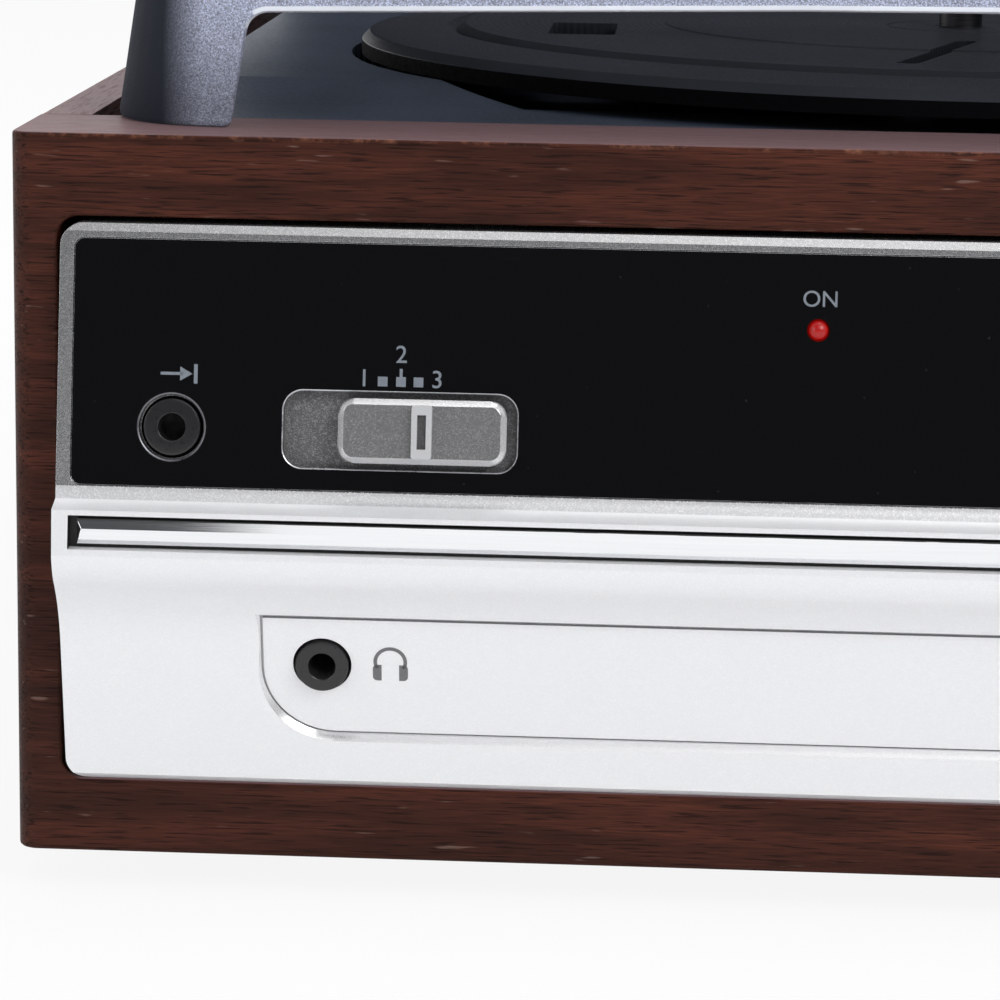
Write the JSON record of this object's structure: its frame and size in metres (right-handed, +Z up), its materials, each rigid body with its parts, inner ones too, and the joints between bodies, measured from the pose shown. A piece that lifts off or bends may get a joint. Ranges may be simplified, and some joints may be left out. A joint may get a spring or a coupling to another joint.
{
  "type": "stereo music centre",
  "caption": "Table-top stereo with a belt-driven record deck under a smoked hinged lid, a wooden cabinet and a silver fascia with radio dial, sockets and slide switches.",
  "frame": {"origin": "under the middle of the whole, on the surface that its feet stand on", "axes": "+X to the right seen from the front, +Y to the back, +Z up"},
  "size_m": [0.34, 0.3384, 0.156],
  "materials": {
    "walnut_board": "dark walnut-grain foil on particle board, satin, a little worn along its edges",
    "back_board": "brown hardboard, matt",
    "foot_rubber": "matt black rubber",
    "silver_fascia": "silver-painted moulded plastic, satin, with a fine sparkle",
    "black_panel": "black gloss plastic with fine scratches",
    "bright_trim": "bright metallised strip",
    "jack_metal": "nickel-plated barrel",
    "silver_knob": "silver-painted plastic knob, satin",
    "switch_can": "plated steel can",
    "red_lamp": "clear red plastic lamp",
    "dial_window": "clear acrylic window",
    "dial_print": "dark printed scale with pale numbers",
    "pointer_red": "orange-red needle",
    "control_body": "dark control body",
    "circuit_board": "brown paper-phenolic board",
    "tuning_white": "white nylon",
    "deck_plastic": "dark grey moulded plastic, fine texture",
    "platter_plastic": "charcoal moulded plastic, satin",
    "polished_steel": "polished steel",
    "bearing_brass": "turned brass",
    "nylon": "off-white nylon",
    "belt_rubber": "black rubber belt",
    "motor_can": "zinc-plated steel",
    "arm_plastic": "black moulded plastic",
    "cartridge_plastic": "dark gloss plastic",
    "stylus_red": "red stylus holder",
    "smoked_lid": "smoked slate plastic with a fine moulded texture",
    "hinge_metal": "zinc-plated steel",
    "speaker_paper": "black basket and paper cone",
    "grille_black": "black moulded grille",
    "transformer_core": "laminated steel core with taped coil",
    "ferrite": "dark ferrite rod with a waxed coil",
    "socket_black": "black moulded socket"
  },
  "bodies": {
    "cabinet": {"adapter_45": "nylon", "arm_rest": "arm_plastic", "aux_socket": "socket_black", "back_panel": "back_board", "band_switch": "switch_can", "black_panel": "black_panel", "board_spacers": "nylon", "bottom_board": "back_board", "chrome_strip": "bright_trim", "control_board": "circuit_board", "deck": "deck_plastic", "dial_lens": "dial_window", "dial_scale": "dial_print", "drive_belt": "belt_rubber", "fascia": "silver_fascia", "feet": "foot_rubber", "ferrite_aerial": "ferrite", "front_board": "walnut_board", "function_switch": "switch_can", "headphone_socket": "socket_black", "hinge_brackets": "hinge_metal", "hinge_pins": "polished_steel", "line_out_sockets": "jack_metal", "main_board": "circuit_board", "mains_inlet": "socket_black", "motor": "motor_can", "power_light": "red_lamp", "side_board_left": "walnut_board", "side_board_right": "walnut_board", "speaker_grilles": "grille_black", "speakers": "speaker_paper", "spindle": "polished_steel", "spindle_bearing": "bearing_brass", "thrust_washer": "nylon", "tonearm_base": "arm_plastic", "transformer": "transformer_core", "tuning_bush": "control_body", "tuning_capacitor": "tuning_white", "volume_control": "control_body"},
    "lid": {"lid": "smoked_lid", "hinge_leaves": "hinge_metal"},
    "platter": {"platter": "platter_plastic"},
    "motor_rotor": {"motor_pulley": "bearing_brass"},
    "arm_turret": {"tonearm_yoke": "arm_plastic", "lift_pin": "polished_steel"},
    "tonearm": {"tonearm": "arm_plastic", "cartridge": "cartridge_plastic", "stylus": "stylus_red"},
    "arm_clip": {"arm_clip": "arm_plastic"},
    "cue_lever": {"cue_lever": "arm_plastic"},
    "cue_lifter": {"cue_lifter": "arm_plastic"},
    "speed_knob": {"speed_knob": "arm_plastic"},
    "auto_stop_knob": {"auto_stop_knob": "arm_plastic"},
    "function_knob": {"function_knob": "silver_knob"},
    "band_knob": {"band_knob": "silver_knob"},
    "volume_knob": {"volume_knob": "silver_knob"},
    "tuning_knob": {"tuning_knob": "silver_knob"},
    "tuning_drum": {"tuning_drum": "tuning_white"},
    "dial_pointer": {"dial_pointer": "pointer_red"}
  },
  "joints": [
    {"name": "lid_hinge", "type": "hinge", "parent": "cabinet", "child": "lid", "pos_m": [0, 0.15422, 0.1085], "axis": [-1, 0, 0], "range_deg": [0, 60]},
    {"name": "platter_spin", "type": "hinge", "parent": "cabinet", "child": "platter", "pos_m": [-0.0348, -0.02048, 0.109], "axis": [0, 0, 1], "continuous": true},
    {"name": "motor_spin", "type": "hinge", "parent": "cabinet", "child": "motor_rotor", "pos_m": [-0.09196, 0.01252, 0.106], "axis": [0, 0, 1], "continuous": true},
    {"name": "arm_swing", "type": "hinge", "parent": "cabinet", "child": "arm_turret", "pos_m": [0.122, 0.08322, 0.116], "axis": [0, 0, -1], "range_deg": [0, 38]},
    {"name": "arm_lift", "type": "hinge", "parent": "arm_turret", "child": "tonearm", "pos_m": [0.122, 0.08322, 0.13], "axis": [-1, 0, 0], "range_deg": [0, 4]},
    {"name": "arm_clip_turn", "type": "hinge", "parent": "cabinet", "child": "arm_clip", "pos_m": [0.129, -0.03678, 0.1346], "axis": [0, -1, 0], "range_deg": [0, 90]},
    {"name": "cue_turn", "type": "hinge", "parent": "cabinet", "child": "cue_lever", "pos_m": [0.141, 0.05722, 0.1156], "axis": [-1, 0, 0], "range_deg": [0, 60]},
    {"name": "cue_lift", "type": "slide", "parent": "cabinet", "child": "cue_lifter", "axis": [0, 0, 1], "range_m": [0, 0.0058]},
    {"name": "speed_turn", "type": "hinge", "parent": "cabinet", "child": "speed_knob", "pos_m": [0.141, -0.06478, 0.111], "axis": [0, 0, -1], "range_deg": [-40, 40]},
    {"name": "auto_stop_slide", "type": "slide", "parent": "cabinet", "child": "auto_stop_knob", "axis": [0, 1, 0], "range_m": [0, 0.006]},
    {"name": "function_slide", "type": "slide", "parent": "cabinet", "child": "function_knob", "axis": [1, 0, 0], "range_m": [-0.0047, 0]},
    {"name": "band_slide", "type": "slide", "parent": "cabinet", "child": "band_knob", "axis": [1, 0, 0], "range_m": [0, 0.0047]},
    {"name": "volume_turn", "type": "hinge", "parent": "cabinet", "child": "volume_knob", "pos_m": [0.102, -0.15286, 0.075], "axis": [0, 0.9863, -0.1649], "range_deg": [-150, 150]},
    {"name": "tuning_turn", "type": "hinge", "parent": "cabinet", "child": "tuning_knob", "pos_m": [0.138, -0.15286, 0.075], "axis": [0, 0.9863, -0.1649], "range_deg": [-592, 592]},
    {"name": "drum_turn", "type": "hinge", "parent": "cabinet", "child": "tuning_drum", "pos_m": [0.04302, -0.14416, 0.06635], "axis": [0, 0.9863, -0.1649], "range_deg": [-90, 90]},
    {"name": "pointer_slide", "type": "slide", "parent": "cabinet", "child": "dial_pointer", "axis": [1, 0, 0], "range_m": [-0.031, 0.031]}
  ],
  "couplings": [
    {"joint": "motor_spin", "follows": "platter_spin", "ratio": 9},
    {"joint": "cue_turn", "follows": "cue_lift", "rad_per_m": 180},
    {"joint": "drum_turn", "follows": "tuning_turn", "ratio": 0.15},
    {"joint": "pointer_slide", "follows": "tuning_turn", "m_per_rad": 0.003}
  ]
}
